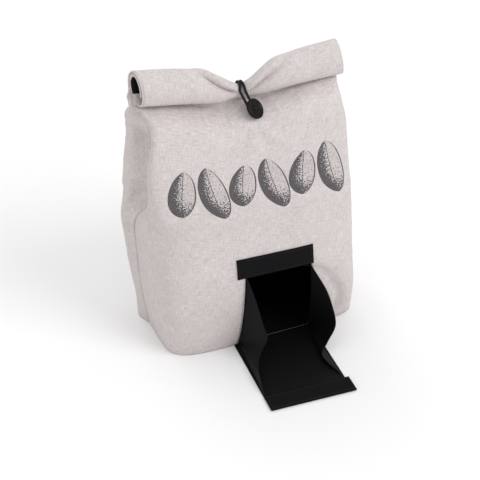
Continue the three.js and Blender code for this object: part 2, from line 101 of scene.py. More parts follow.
coatButton = {
    "diameter": 25, "thick": 4, "rim": 2.4, "dish": 1.0, "hole": 2.0, "holeCircle": 6,
    "lift": 10, "x": 2, "shank": 3.6,
    "rounding": 1.2,  # of the rim's outer edge
    "underWide": 2.2, "underTall": 1.5,  # rounding of the underside's edge
}

loop = {
    "diameter": 3.4, "x": -1,
    "tabWidth": 16, "tabHeight": 20, "tabThick": 1.2,
    "tabTop": 0.93,  # share of the neck's height
}

# Sections of the bag: height is a share of the neck's, x a share of halfWidth and y of halfDepth.
# The columns named square are exponents: the higher, the sharper the corner.
sectionColumns = (
    "height", "seamLeft", "seamRight", "wideLeft", "wideRight", "seamDepth",
    "front", "back", "nipRight", "skew", "squareRight", "squareBack",
)
sectionRows = (
    (0.00, 0.95, 1.06, 1.02, 1.08, 0.20, 1.06, 1.00, -0.09, 0.11, 6.2, 4.8),
    (0.06, 0.97, 1.07, 1.02, 1.10, 0.29, 1.18, 1.14, -0.07, 0.10, 6.0, 4.4),
    (0.18, 1.00, 1.08, 1.05, 1.12, 0.40, 1.31, 1.26, -0.05, 0.06, 5.4, 4.0),
    (0.33, 1.02, 1.08, 1.10, 1.12, 0.40, 1.32, 1.27, -0.04, 0.03, 4.4, 3.6),
    (0.45, 1.04, 1.08, 1.13, 1.10, 0.33, 1.20, 1.22, -0.04, 0.00, 4.0, 3.9),
    (0.53, 1.03, 1.07, 1.13, 1.09, 0.08, 1.13, 1.15, -0.03, 0.00, 3.8, 4.3),
    (0.58, 0.985, 1.05, 1.13, 1.07, -0.14, 1.10, 1.10, -0.03, 0.00, 3.8, 4.7),
    (0.64, 0.985, 1.02, 1.13, 1.05, -0.33, 1.04, 1.04, -0.02, 0.00, 3.6, 5.2),
    (0.75, 1.00, 0.99, 1.11, 1.02, -0.45, 0.93, 0.93, 0.00, 0.00, 3.4, 5.6),
    (0.82, 0.99, 0.97, 1.10, 1.00, -0.48, 0.84, 0.85, 0.00, 0.00, 3.3, 5.6),
    (0.86, 0.965, 0.96, 1.10, 0.99, -0.44, 0.78, 0.80, 0.00, 0.00, 3.2, 5.6),
    (0.93, 0.955, 0.92, 1.12, 0.96, -0.34, 0.62, 0.64, 0.00, 0.00, 3.0, 5.2),
    (0.975, 0.99, 0.91, 1.11, 0.94, -0.17, 0.43, 0.42, 0.00, 0.00, 2.8, 4.0),
    (1.00, 1.06, 0.94, 1.06, 0.94, 0.00, 0.00, 0.00, 0.00, 0.00, 2.6, 2.6),
)

# The pinched roll from its left end, -1, to its right end, 1.
pinchColumns = ("along", "drop", "squeeze", "sag")
pinchRows = (
    (-1.00, -0.12, 0.00, 0.00), (-0.71, 0.02, 0.02, 0.22), (-0.51, 0.15, 0.05, 0.45),
    (-0.35, 0.29, 0.10, 0.70), (-0.16, 0.60, 0.42, 1.00), (-0.04, 0.79, 0.82, 0.90),
    (0.05, 0.91, 1.00, 0.80), (0.13, 0.83, 0.85, 0.84), (0.26, 0.55, 0.45, 0.86),
    (0.36, 0.36, 0.24, 0.72), (0.52, 0.20, 0.10, 0.48), (0.75, 0.08, 0.03, 0.22),
    (0.94, 0.02, 0.01, 0.05), (1.00, 0.00, 0.00, 0.00),
)

# Free edges of the chute's folded sides: out, forward and up, as shares of the chute's width,
# its length and the hatch's height.
leftEdge = (
    (-0.12, 0.12, 0.97), (-0.17, 0.22, 0.72), (-0.21, 0.31, 0.49), (-0.24, 0.37, 0.34),
    (-0.17, 0.37, 0.20), (-0.09, 0.45, 0.12), (-0.04, 0.61, 0.075), (-0.01, 0.80, -0.004),
)
rightEdge = (
    (-0.14, 0.13, 0.97), (0.02, 0.25, 0.72), (0.09, 0.33, 0.49), (0.09, 0.41, 0.305),
    (-0.01, 0.43, 0.12), (-0.11, 0.49, 0.05), (-0.12, 0.61, 0.04), (-0.02, 0.80, -0.004),
)


def lerp(a, b, share):
    return a + (b - a) * share


def smooth(value, low, high):
    share = min(max((value - low) / (high - low), 0), 1)
    return share * share * (3 - 2 * share)


def bump(value, middle, width):
    return math.exp(-((value - middle) / width) ** 2)


# Smooth reading of rows by their first column
class ShapeTable:
    def __init__(self, columns, rows):
        self.names = columns[1:]
        self.keys = [row[0] for row in rows]
        self.rows = [row[1:] for row in rows]

    def read(self, at):
        keys = self.keys
        at = min(max(at, keys[0]), keys[-1])
        i = min(max(bisect.bisect_right(keys, at), 1), len(keys) - 1)
        before = i - 2 if i > 1 else i
        after = i + 1 if i + 1 < len(keys) else i - 1
        step = keys[i] - keys[i - 1]
        p = (at - keys[i - 1]) / step
        wb = step / 2 / (keys[i - 1] - keys[before])
        wa = step / 2 / (keys[after] - keys[i])
        weights = (
            (before, -wb * p**3 + 2 * wb * p**2 - wb * p),
            (i - 1, (1 + wb) * p**3 + (-1.5 - 2 * wb) * p**2 + (-0.5 + wb) * p + 1),
            (i, (-1 - wa) * p**3 + (1.5 + wa) * p**2 + 0.5 * p),
            (after, wa * p**3 - wa * p**2),
        )
        values = [sum(w * self.rows[k][n] for k, w in weights) for n in range(len(self.names))]
        return dict(zip(self.names, values))


sections = ShapeTable(sectionColumns, sectionRows)
pinches = ShapeTable(pinchColumns, pinchRows)
neckLeft = -bag["halfWidth"] * sections.read(1)["seamLeft"]
neckRight = bag["halfWidth"] * sections.read(1)["seamRight"]


def pinchAt(x):
    shares = pinches.read(2 * (x - neckLeft) / (neckRight - neckLeft) - 1)
    shares["squeeze"] = min(max(shares["squeeze"], 0), 1)
    return shares


# The front's left corner is a sharp fold in the upper half: a share of the neck's height, the
# exponent of its rounding and how far it draws in (less than 0: stands out)
leftCorner = ShapeTable(("share", "square", "nip"), (
    (0.00, 6.2, 0.03), (0.06, 6.0, 0.03), (0.18, 5.4, 0.02), (0.33, 4.4, 0.01), (0.45, 4.0, 0.00),
    (0.53, 4.2, 0.00), (0.58, 5.4, -0.03), (0.64, 8.0, -0.055), (0.75, 9.5, -0.06),
    (0.86, 9.0, -0.055), (0.93, 6.0, -0.03), (0.975, 3.2, 0.00), (1.00, 2.6, 0.00),
))


# 0 up to a share of the neck's height, 1 at the neck
def nearNeck(height, share):
    return smooth(height, share * bag["neck"], bag["neck"])


outlineSteps = 160
outlines = {}


# Fine points of one panel's outline at a height, with the length run so far
def outlineAt(side, height):
    key = side, round(height, 4)
    if key in outlines:
        return outlines[key]
    row = sections.read(height / bag["neck"])
    front = side == "front"
    half = bag["seamGap"] * math.sin(nearNeck(height, bag["closing"]) * math.pi / 2)
    left = bag["halfWidth"] * row["seamLeft"]
    right = bag["halfWidth"] * row["seamRight"]
    middle = (right - left) / 2
    seamY = bag["halfDepth"] * row["seamDepth"]
    bulge = bag["halfDepth"] * row[side] + (seamY if front else -seamY)
    corner = leftCorner.read(height / bag["neck"])
    places, runs = [], []
    for i in range(outlineSteps + 1):
        angle = math.pi * i / outlineSteps
        power = 2 / row["squareBack"]
        if front:
            power = 2 / (corner["square"] if i < outlineSteps / 2 else row["squareRight"])
        across = -math.copysign(abs(math.cos(angle)) ** power, math.cos(angle))
        deep = abs(math.sin(angle)) ** power
        toLeft = across < 0 if front else across > 0
        seam = left + middle if toLeft else right - middle
        wide = bag["halfWidth"] * (row["wideLeft"] if toLeft else row["wideRight"])
        wide += middle if toLeft else -middle
        nip = corner["nip"] if toLeft else row["nipRight"]
        reach = seam * (1 - nip * deep) if front else lerp(seam, wide, smooth(deep, 0, 0.35))
        x = middle + (-1 if toLeft else 1) * abs(across) * reach
        turn = bag["halfDepth"] * row["skew"] * (x / bag["halfWidth"]) * deep
        y = seamY - half - bulge * deep + turn if front else seamY + half + bulge * deep
        runs.append(runs[-1] + math.dist((x, y), places[-1]) if places else 0.0)
        places.append((x, y))
    outlines[key] = places, runs
    return outlines[key]


def pointAtShare(side, height, share):
    places, runs = outlineAt(side, height)
    run = share * runs[-1]
    i = min(max(bisect.bisect_left(runs, run), 1), len(runs) - 1)
    part = (run - runs[i - 1]) / max(runs[i] - runs[i - 1], 1e-9)
    return lerp(places[i - 1][0], places[i][0], part), lerp(places[i - 1][1], places[i][1], part)


def shareAtX(side, height, x):
    places, runs = outlineAt(side, height)
    sign = 1 if side == "front" else -1
    i = 1
    while i < len(places) - 1 and sign * places[i][0] < sign * x:
        i += 1
    part = (x - places[i - 1][0]) / (places[i][0] - places[i - 1][0])
    return lerp(runs[i - 1], runs[i], part) / runs[-1]


def facePoint(side, height, share):
    x, y = pointAtShare(side, height, share)
    pinch = pinchAt(x)
    high = nearNeck(height, 0.6)
    forward = roll["neckForward"] * (1 - pinch["squeeze"]) * high
    return Vector((x, y - forward, height - roll["neckSag"] * pinch["sag"] * high))


def faceNormal(side, height, share):
    low, high = max(height - 2, 0), min(height + 2, bag["neck"])
    before, after = max(share - 0.01, 0), min(share + 0.01, 1)
    across = facePoint(side, height, after) - facePoint(side, height, before)
    return across.cross(facePoint(side, high, share) - facePoint(side, low, share)).normalized()


# Point on or outside a panel at an x and a height
def panelPoint(side, x, height, outwards=0.0):
    share = shareAtX(side, height, x)
    return facePoint(side, height, share) + faceNormal(side, height, share) * outwards


# Fold lines that run along the roll's front into the pinch: x, then the angle round the roll
leftGroove = ShapeTable(
    ("x", "angle"), ((-66, 86), (-52, 100), (-40, 124), (-28, 148), (-16, 162), (-5, 171)),
)
rightGroove = ShapeTable(
    ("x", "angle"), ((2, 192), (9, 188), (18, 171), (28, 154), (38, 138), (48, 123), (60, 105)),
)


# Depth of the folds: above and below are their widths in degrees, and both end short of the loop
def grooveAt(x, angle):
    if -70 < x < -3:
        middle, above, below = leftGroove.read(x)["angle"], 9, 32
        depth = smooth(x, -70, -36) * (1 - smooth(x, -15, -5))
    elif 1 < x < 62:
        middle, above, below = rightGroove.read(x)["angle"], 22, 26
        depth = 0.95 * (1 - smooth(x, 30, 62)) * smooth(x, 3, 16)
    else:
        return 0.0
    valley = bump(angle, middle, above if angle < middle else below)
    ridge = bump(angle, middle - 2.4 * above, 1.4 * above)
    return roll["groove"] * depth * (valley - 0.25 * ridge)


# Middle line of the rolled layers above one point of the neck
def rollPoint(x, degrees, intoRoll):
    pinch = pinchAt(x)
    squeeze = pinch["squeeze"]
    tall = (lerp(roll["tall"], roll["pinchTall"], squeeze) - roll["stack"]) / 2
    deep = (lerp(roll["deep"], roll["pinchDeep"], squeeze) - roll["stack"]) / 2
    lean = math.radians(roll["lean"] * (1 - squeeze))
    middleY = -lerp(roll["forward"], roll["pinchForward"], squeeze)
    middleZ = bag["neck"] + roll["rise"] - roll["pinchDrop"] * pinch["drop"]
    nearLeft = 1 - smooth(x, neckLeft, neckLeft + roll["endRun"])
    nearRight = smooth(x, neckRight - roll["endRun"], neckRight)

    def at(turned):
        inwards = roll["pitch"] * turned / 360
        turn = roll["startAngle"] + turned
        inwards += grooveAt(x, turn % 360) * (1 - 0.4 * turned / roll["turns"])
        y = (deep - inwards) * math.cos(math.radians(turn))
        z = (tall - inwards) * math.sin(math.radians(turn))
        y, z = y * math.cos(lean) + z * math.sin(lean), z * math.cos(lean) - y * math.sin(lean)
        shift = nearLeft * (roll["leftIn"] - roll["leftBack"] * y / roll["deep"])
        shift -= nearRight * roll["rightTop"] * z / roll["tall"]
        return Vector((x + shift, middleY + y, middleZ + z))

    here = at(degrees)
    ahead = (at(degrees + 1) - here).normalized()
    return here + Vector((0, -ahead.z, ahead.y)) * intoRoll, ahead


# Objects

def meshObject(name, bm):
    mesh = bpy.data.meshes.new(name)
    bm.to_mesh(mesh)
    bm.free()
    made = bpy.data.objects.new(name, mesh)
    bpy.context.collection.objects.link(made)
    return made


def finished(name, bm, finish, nodes=(), smoothFaces=True):
    for face in bm.faces:
        face.smooth = smoothFaces
    piece = meshObject(name, bm)
    piece.data.materials.append(finish)
    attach(piece, "root")
    if nodes:
        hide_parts(*nodes)
    return piece


# A grid whose points are moved to where place puts them; uvAt gives centimetres on the cloth
def clothGrid(columns, rows, place, uvAt, keeps=None, wraps=False):
    def cell(at, whole=round):
        return whole((at.x + 1) / 2 * columns), whole((at.y + 1) / 2 * rows)

    bm = bmesh.new()
    layer = bm.loops.layers.uv.new("cloth")
    bmesh.ops.create_grid(bm, x_segments=columns, y_segments=rows, size=1)
    if keeps:
        gone = [face for face in bm.faces if not keeps(*cell(face.calc_center_median(), int))]
        bmesh.ops.delete(bm, geom=gone, context="FACES")
    spots = [place(*cell(vert.co)) for vert in bm.verts]  # first, because uvAt may need it
    for face in bm.faces:
        for corner in face.loops:
            corner[layer].uv = uvAt(*cell(corner.vert.co))
    for vert, spot in zip(bm.verts, spots):
        vert.co = spot * mm
    if wraps:
        bmesh.ops.remove_doubles(bm, verts=bm.verts, dist=0.00002)
    return bm


def thicken(piece, thick, offset=-1.0):
    shell = piece.modifiers.new("thickness", "SOLIDIFY")
    shell.thickness = thick * mm
    shell.offset = offset
    shell.use_even_offset = False


# Materials

class Wire:
    def __init__(self, finish, socket):
        self.finish = finish
        self.socket = socket

    def math(self, operation, *others):
        return self.finish.number(operation, self, *others)

    def __add__(self, other):
        return self.math("ADD", other)

    __radd__ = __add__

    def __sub__(self, other):
        return self.math("SUBTRACT", other)

    def __rsub__(self, other):
        return self.finish.number("SUBTRACT", other, self)

    def __mul__(self, other):
        return self.math("MULTIPLY", other)

    __rmul__ = __mul__

    def __truediv__(self, other):
        return self.math("DIVIDE", other)

    def __pow__(self, other):
        return self.math("POWER", other)

    def __neg__(self):
        return self.math("MULTIPLY", -1)

    def __abs__(self):
        return self.math("ABSOLUTE")

    def __gt__(self, other):
        return self.math("GREATER_THAN", other)

    def __lt__(self, other):
        return self.math("LESS_THAN", other)


class Finish:
    def __init__(self, name, **sockets):
        self.material = bpy.data.materials.new(name)
        self.material.use_nodes = True
        self.tree = self.material.node_tree
        self.shader = self.tree.nodes["Principled BSDF"]
        for words, value in sockets.items():
            self.shader.inputs[words.replace("_", " ")].default_value = value

    def node(self, kind, settings=None, values=None, output=0):
        made = self.tree.nodes.new(kind)
        for name, value in (settings or {}).items():
            setattr(made, name, value)
        for key, value in (values or {}).items():
            self.feed(made.inputs[key], value)
        return Wire(self, made.outputs[output])

    def feed(self, socket, value):
        if isinstance(value, Wire):
            self.tree.links.new(value.socket, socket)
        else:
            socket.default_value = value

    def shade(self, name, value):
        self.feed(self.shader.inputs[name], value)

    def number(self, operation, *values):
        return self.node("ShaderNodeMath", {"operation": operation}, dict(enumerate(values)))

    def clothPlace(self):
        vector = self.node("ShaderNodeUVMap", {"uv_map": "cloth"})
        return [self.node("ShaderNodeSeparateXYZ", values={0: vector}, output=k) for k in (0, 1)]

    def objectPlace(self):
        return self.node("ShaderNodeTexCoord", output="Object")

    def point(self, x, y, z=0.0):
        return self.node("ShaderNodeCombineXYZ", values={0: x, 1: y, 2: z})

    def speckle(self, vector, scale, detail=2.0, rough=0.5):
        values = {"Vector": vector, "Scale": scale, "Detail": detail, "Roughness": rough}
        return self.node("ShaderNodeTexNoise", {"noise_dimensions": "3D"}, values)

    def mix(self, share, a, b):
        values = {0: share, 6: a, 7: b}
        return self.node("ShaderNodeMix", {"data_type": "RGBA"}, values, output=2)

    def steps(self, value, low, high, start=0.0, end=1.0):
        settings = {"interpolation_type": "SMOOTHSTEP"}
        values = {0: value, 1: low, 2: high, 3: start, 4: end}
        return self.node("ShaderNodeMapRange", settings, values)

    def relief(self, height, depth, strength=1.0):
        values = {"Strength": strength, "Distance": depth * mm, "Height": height}
        self.shade("Normal", self.node("ShaderNodeBump", values=values))


def colour(r, g, b):
    def linear(v):
        v /= 255
        return v / 12.92 if v <= 0.04045 else ((v + 0.055) / 1.055) ** 2.4

    return linear(r), linear(g), linear(b), 1.0


linenLook = {
    "light": colour(217, 210, 208),
    "shade": colour(174, 165, 165),
    "slub": colour(158, 151, 155),
    "thread": 0.9,  # millimetres from thread to thread
    "run": 10,  # millimetres that a thread keeps its tone
    "weave": 0.8,  # millimetres from one raised crossing to the next
}

inkLook = {
    "ink": colour(52, 52, 57),
    "pitch": 3.75,  # centimetres from leaf to leaf
    "middle": 23.5,  # height of the band's middle, in centimetres
    "right": 0.75,  # how far the band's middle lies right of the cloth's
    "half": 3.7,  # half a tall leaf's length
    "leaves": 3,  # on each side of the band's middle
}


# Threads one way: long thin noise across u or v, in centimetres
def threads(finish, u, v, pitch, run, detail=2.0):
    return finish.speckle(finish.point(u * (10 / pitch), v * (10 / run)), 1.0, detail, 0.6)


def linenFinish(name, printed=False):
    finish = Finish(
        name, Roughness=0.9, Sheen_Weight=0.08, Sheen_Roughness=0.6, Specular_IOR_Level=0.2,
    )
    u, v = finish.clothPlace()
    thread, run = linenLook["thread"], linenLook["run"]
    warp, weft = threads(finish, u, v, thread, run), threads(finish, v, u, thread, run)
    cloud = finish.speckle(finish.point(u, v), 0.4, 2.0)
    tone = finish.steps((warp + weft) * 0.45 + cloud * 0.1, 0.24, 0.76)
    base = finish.mix(tone, linenLook["shade"], linenLook["light"])
    slub = finish.steps(threads(finish, v, u, 1.3, 20, 1.0), 0.62, 0.8, 0, 0.4)
    base = finish.mix(slub, base, linenLook["slub"])
    weave = 2 * math.pi * 10 / linenLook["weave"]
    fine = (u * weave).math("SINE") * (v * weave).math("SINE")
    finish.relief(warp + weft + fine * 0.15, 0.35, 0.55)
    if printed:
        base = leafBand(finish, base, u, v)
    finish.shade("Base Color", base)
    return finish.material


# A band of upright stippled leaves, tall and short in turn
def leafBand(finish, base, u, v):
    look = inkLook
    u = u - look["right"]
    cell = (u / look["pitch"]).math("FLOOR")
    odd = abs(cell).math("MODULO", 2)  # every other leaf is shorter, higher and leans the other way
    across = u - (cell + 0.5) * look["pitch"]
    up = v - look["middle"] - (odd - 0.5) * 0.4
    x = across - up * (odd - 0.5) * 0.3
    half = look["half"] - odd * 0.7
    along = up / half
    # outline: a long oval that is a little narrower at the top
    taper = 1 - abs(along) ** 2.2
    width = taper.math("MAXIMUM", 0.0) ** 0.62 * (1.72 - 0.2 * along)
    side = x / width.math("MAXIMUM", 0.001)
    edge = abs(side)
    inside = edge < 1
    rim = (edge > 0.9) * inside
    rib = (abs(x) < 0.045) * inside
    slant = up * 3.2 - abs(x) * 2.6
    vein = abs(slant - (slant.math("FLOOR") + 0.5)) < 0.07
    grain = finish.speckle(finish.point(u, v), 5.5, 2.0, 0.6)
    shadeLeft = finish.steps(-side, -0.3, 1.0, 0.0, 0.32)
    shadeLow = finish.steps(-along, 0.1, 1.0, 0.0, 0.2)
    dark = shadeLeft + shadeLow + 0.38
    dots = (grain < dark) * inside
    lines = (rim + rib + vein * inside * 0.8).math("MINIMUM", 1.0)
    ink = dots.math("MAXIMUM", lines)
    ends = abs(cell + 0.5) < look["leaves"]
    faded = finish.steps(finish.speckle(finish.point(u, v), 16.0, 2.0), 0.25, 0.6, 0.6, 1.0)
    return finish.mix(ink * ends * faded, base, look["ink"])


def blackFinish(name):
    finish = Finish(name, Roughness=0.62, Specular_IOR_Level=0.14)
    u, v = finish.clothPlace()
    warp, weft = threads(finish, u, v, 0.7, 18), threads(finish, v, u, 0.7, 18)
    cloud = finish.speckle(finish.point(u, v), 0.5, 3.0)
    tone = (warp + weft) / 2 * 0.6 + cloud * 0.4
    finish.shade("Base Color", finish.mix(tone, colour(4, 4, 5), colour(16, 15, 17)))
    finish.relief(warp + weft, 0.22, 0.5)
    return finish.material


def tapeFinish(name):
    finish = Finish(name, Roughness=0.85, Specular_IOR_Level=0.14)
    u, v = finish.clothPlace()
    hooks = finish.node(
        "ShaderNodeTexVoronoi", {"feature": "DISTANCE_TO_EDGE"},
        {"Vector": finish.point(u, v), "Scale": 8.0, "Randomness": 0.45},
    )
    fuzz = finish.speckle(finish.point(u, v), 14.0, 3.0)
    finish.shade("Base Color", finish.mix(fuzz, colour(4, 4, 6), colour(17, 16, 19)))
    finish.relief(hooks + fuzz * 0.4, 0.5, 0.6)
    return finish.material


def threadFinish(name, dark, light):
    finish = Finish(name, Roughness=0.7)
    twist = finish.speckle(finish.objectPlace(), 1400.0, 2.0)
    finish.shade("Base Color", finish.mix(twist, dark, light))
    finish.relief(twist, 0.1, 0.5)
    return finish.material


def hornFinish(name):
    finish = Finish(name, Specular_IOR_Level=0.15)
    place = finish.objectPlace()
    cloud = finish.speckle(place, 160.0, 3.0)
    streak = finish.speckle(place, 700.0, 2.0)
    tone = finish.steps(cloud * 0.7 + streak * 0.3, 0.35, 0.7)
    finish.shade("Base Color", finish.mix(tone, colour(7, 6, 7), colour(22, 18, 19)))
    finish.shade("Roughness", 0.26 + streak * 0.14)
    return finish.material


def elasticFinish(name):
    finish = Finish(name, Roughness=0.65, Specular_IOR_Level=0.2)
    u, v = finish.clothPlace()
    left, right = (u * 26 + v * 30).math("SINE"), (u * 26 - v * 30).math("SINE")
    braid = left.math("MAXIMUM", right)
    finish.shade("Base Color", finish.mix(braid * 0.5 + 0.5, colour(8, 8, 9), colour(30, 29, 32)))
    return finish.material


printedLinen = linenFinish("printedLinen", printed=True)
plainLinen = linenFinish("plainLinen")
blackCloth = blackFinish("blackCloth")
hookTape = tapeFinish("hookTape")
whiteThread = threadFinish("whiteThread", colour(206, 200, 196), colour(238, 234, 230))
blackThread = threadFinish("blackThread", colour(10, 10, 11), colour(34, 33, 35))
hornPlastic = hornFinish("hornPlastic")
braidedElastic = elasticFinish("braidedElastic")
print("materials made")

# Body panels: columns across, rows up the wall, past the neck and round the roll

grid = {"side": 36, "hatch": 24, "low": 34, "body": 100, "bend": 5, "roll": 140}
panelColumns = 2 * grid["side"] + grid["hatch"]


def hatchSide(height, sign):
    share = min(height / hatch["height"], 1)
    return hatch["middle"] + sign * lerp(hatch["baseWidth"], hatch["topWidth"], share) / 2


def rowHeight(row, foot):
    if row <= grid["low"]:
        return lerp(foot, hatch["height"], row / grid["low"])
    share = (row - grid["low"]) / (grid["body"] - grid["low"])
    return lerp(hatch["height"], bag["neck"], 1 - (1 - share) ** 1.4)


# Share of the neck's length at a column counted from the left: they lie closest at the pinch
def neckShare(column):
    even = column / panelColumns
    return even + 0.026 * math.sin(math.pi * even) + 0.03 * math.sin(2 * math.pi * even)


# The back runs from right to left, and its columns meet those of the front at the neck
def backShare(column, height):
    meeting = 1 - neckShare(panelColumns - column)
    return lerp(column / panelColumns, meeting, nearNeck(height, 0.55))


hatchShares = {}


def frontShare(column, height):
    if height not in hatchShares:
        hatchShares[height] = [shareAtX("front", height, hatchSide(height, s)) for s in (-1, 1)]
    left, right = hatchShares[height]
    side, across = grid["side"], grid["hatch"]
    share = lerp(left, right, (column - side) / across)
    if column < side:
        share = lerp(0, left, column / side)
    if column > side + across:
        share = lerp(right, 1, (column - side - across) / side)
    return lerp(share, neckShare(column), nearNeck(height, 0.55))


def keepsHatchOpen(column, row):
    beside = column < grid["side"] or column >= grid["side"] + grid["hatch"]
    return beside or row >= grid["low"]


# Valley that the chute's right side pulls into the front: its x at a height
pulledValley = ShapeTable(
    ("height", "x"), ((14, 100), (25, 104), (43, 107), (71, 96), (95, 80), (108, 68)),
)


# Thin ridges where the cloth was once folded
def creaseLines(x, height, shift):
    line = abs(noise.noise(Vector((x / 52, height / 34, shift))))
    return max(1 - line * 7, 0) ** 2


# Folds that fan out below the loop
def gatherFolds(x, height):
    down = bag["neck"] - 10 - height
    spread, turn = math.hypot(x - 1, down), math.atan2(x - 1, max(down, 1))
    folds = math.cos(turn * 7 + 0.7) * bump(spread, 26, 38) * smooth(spread, 4, 22)
    fade = smooth(down, -2, 12) * (1 - smooth(abs(turn), 1.15, 1.5))
    return bag["gathers"] * folds * fade


# Ridge and valley beside the chute's right side
def chutePull(x, height, seamRun):
    beside = x - pulledValley.read(height)["x"]
    pulled = bump(beside, -13, 7) * 2.0 - bump(beside, 0, 7) * 3.8
    return pulled * smooth(height, 8, 26) * (1 - smooth(height, 100, 116)) * smooth(seamRun, 0, 12)


# Hollow behind the left side's fold, with small tucks across it
def leftTucks(height, seamRun):
    slant = height + seamRun / 4
    tucks = bump(height, 313, 5) - bump(height, 304, 4)
    tucks += 0.7 * bump(slant, 222, 6) - 0.8 * bump(slant, 212, 5)
    hollow = bump(seamRun, 13, 15) * smooth(seamRun, 0, 6)
    hollow *= smooth(height, 160, 205) * (1 - smooth(height, 290, 322))
    tucks *= smooth(seamRun, 2, 12) * (1 - smooth(seamRun, 50, 75))
    return tucks - bag["tuckDepth"] * hollow


# Height of the cloth's waves, folds and seams at a place on a panel that lies seamRun from a seam
def relief(side, x, height, seamRun):
    front = side == "front"
    calm = smooth(seamRun, 2, 22) * smooth(height, 4, 40) * (1 - smooth(height, 300, 330))
    if front:  # the cloth lies smooth round the hatch
        reach = max(abs(x - hatch["middle"]) - 50, height - 142, 0)
        calm *= smooth(reach, 4, 40)
    shift = 0 if front else 40
    wide = noise.noise(Vector((x / 62, height / 54, shift))) * 1.5
    fine = noise.noise(Vector((x / 24, height / 30, shift + 9))) * 0.45
    waves = calm * bag["waviness"] * (wide + fine + 0.45 * creaseLines(x, height, shift + 3))
    dip = 0.08 + 0.3 * (1 - smooth(height, 180, 200))
    seam = 0.5 * bump(seamRun, 3.0, 2.4) - dip * bump(seamRun, 0, 1.2)
    out = waves + seam * (1 - smooth(height, 326, 334))
    if front:
        out += gatherFolds(x, height) + chutePull(x, height, seamRun)
    elif x < 0:
        out += leftTucks(height, seamRun)
    return out


# All points of a panel's outer face, before the relief and the wall's depth
def panelPoints(side, foot):
    shareAt = frontShare if side == "front" else backShare
    heights = [rowHeight(j, foot) for j in range(grid["body"] + 1)]
    walls = []
    for i in range(panelColumns + 1):
        shares = [(height, shareAt(i, height)) for height in heights]
        walls.append([(facePoint(side, height, share), height, share) for height, share in shares])
    return walls


def gridNormal(points, i, j):
    a = points[max(i - 1, 0)][j][0]
    b = points[min(i + 1, len(points) - 1)][j][0]
    c = points[i][max(j - 1, 0)][0]
    d = points[i][min(j + 1, len(points[0]) - 1)][0]
    return (b - a).cross(d - c).normalized()


# How far the back's linen stands out below the roll's left end, at each height
leftEar = ShapeTable(("height", "out"), (
    (300, 0), (314, -1.5), (322, -3.5), (328, -2.5), (333, 2), (338, 7), (343, 6), (350, 1.5),
    (358, 0),
))


# A panel's grid: its number of rows, the place of each point and each point's place on the flat
# cloth. Depth is how far in the face lies, and turns is how far it goes round the roll.
def panelGrid(side, foot, depth, folds, turns):
    front = side == "front"
    walls = panelPoints(side, foot)
    rollRows = round(grid["roll"] * turns / roll["turns"])
    rows = grid["body"] + (grid["bend"] + rollRows if turns else 0)
    towards = 1 if front else -1
    layer = towards * (roll["stack"] / 2 - depth * 0.85)
    cloth = {}

    # Below the roll's left end the back is shaped, and its linen stands off the lining
    def eared(point):
        if front:
            return point
        out = leftEar.read(point.z)["out"] * (1 - smooth(point.x, neckLeft - 3, neckLeft + 22))
        return point - Vector((min(out, 0) if depth else out, 0, 0))

    def wallPoint(i, j):
        point, height, share = walls[i][j]
        normal = gridNormal(walls, i, j)
        if i in (0, panelColumns):
            closing = nearNeck(height, bag["closing"]) * math.pi / 2
            sideways = towards * (-1 if i == 0 else 1)
            normal = Vector((sideways * math.cos(closing), -towards * math.sin(closing), 0))
        width = outlineAt(side, height)[1][-1]
        seamRun = min(share, 1 - share) * width
        out = folds(side, point.x, height, seamRun) - depth
        return eared(point + normal * out), (share - 0.5) * width / 10, height / 10

    def place(i, j):
        if j <= grid["body"]:
            point, u, v = wallPoint(i, j)
            cloth[i, j] = u, v
            return point
        share = neckShare(i if front else panelColumns - i)
        x = lerp(neckLeft, neckRight, share)
        over = j - grid["body"] - grid["bend"]
        if over >= 0:
            degrees = turns * over / rollRows
            cloth[i, j] = (x if front else -x) / 10, bag["neck"] / 10 + 1 + degrees / 360 * 11
            point = rollPoint(x, degrees, layer)[0]
            return eared(point) if degrees < 90 else point
        start, u, v = wallPoint(i, grid["body"])
        end, ahead = rollPoint(x, 0, layer)
        end = eared(end)
        share = (over + grid["bend"]) / grid["bend"]
        reach = (end - start).length
        h00, h01 = 2 * share**3 - 3 * share**2 + 1, -2 * share**3 + 3 * share**2
        h10, h11 = share**3 - 2 * share**2 + share, share**3 - share**2
        cloth[i, j] = u, v + share
        return start * h00 + end * h01 + Vector((0, 0, 1)) * reach * h10 + ahead * reach * h11

    return rows, place, cloth


def panelCloth(side, *shape):
    rows, place, cloth = panelGrid(side, *shape)
    keeps = keepsHatchOpen if side == "front" else None
    return clothGrid(panelColumns, rows, place, lambda i, j: cloth[i, j], keeps)


def linenPanel(name, side, finish, node):
    # The front linen stops short in the roll so the black lining shows inside it: real lining, and
    # also painted shade for the roll's dark inside
    turns = roll["linenTurns"] if side == "front" else roll["turns"]
    bm = panelCloth(side, 0, 0, relief, turns)
    thicken(finished(name, bm, finish, (node,)), bag["linen"])


def liningPanel(name, side, node):
    def creases(at, x, height, seamRun):
        wave = noise.noise(Vector((x / 30, height / 38, 70)))
        inner = smooth(seamRun, 2, 25) * smooth(height, 6, 30) * (1 - smooth(height, 280, 320))
        return relief(at, x, height, seamRun) - abs(wave) * 1.6 * inner

    turns = roll["turns"] if side == "back" else 0
    bm = panelCloth(side, bag["liningFoot"], bag["liningDepth"], creases, turns)
    thicken(finished(name, bm, blackCloth, (node,)), bag["lining"])


edging = {
    "across": 6,  # cells from one edge of the strip to the other
    "thick": 0.4,
    "from": 0.85,  # share of the neck's height where the seam's strip begins
    "swell": 0.4,  # how far that strip stands out, as a share of the gap it covers
    "inner": (430, 596),  # degrees of turn between which the roll's inner strip lies
    "innerRows": 40,
    "innerReach": 2.6,  # how far into the roll the inner strip goes
}


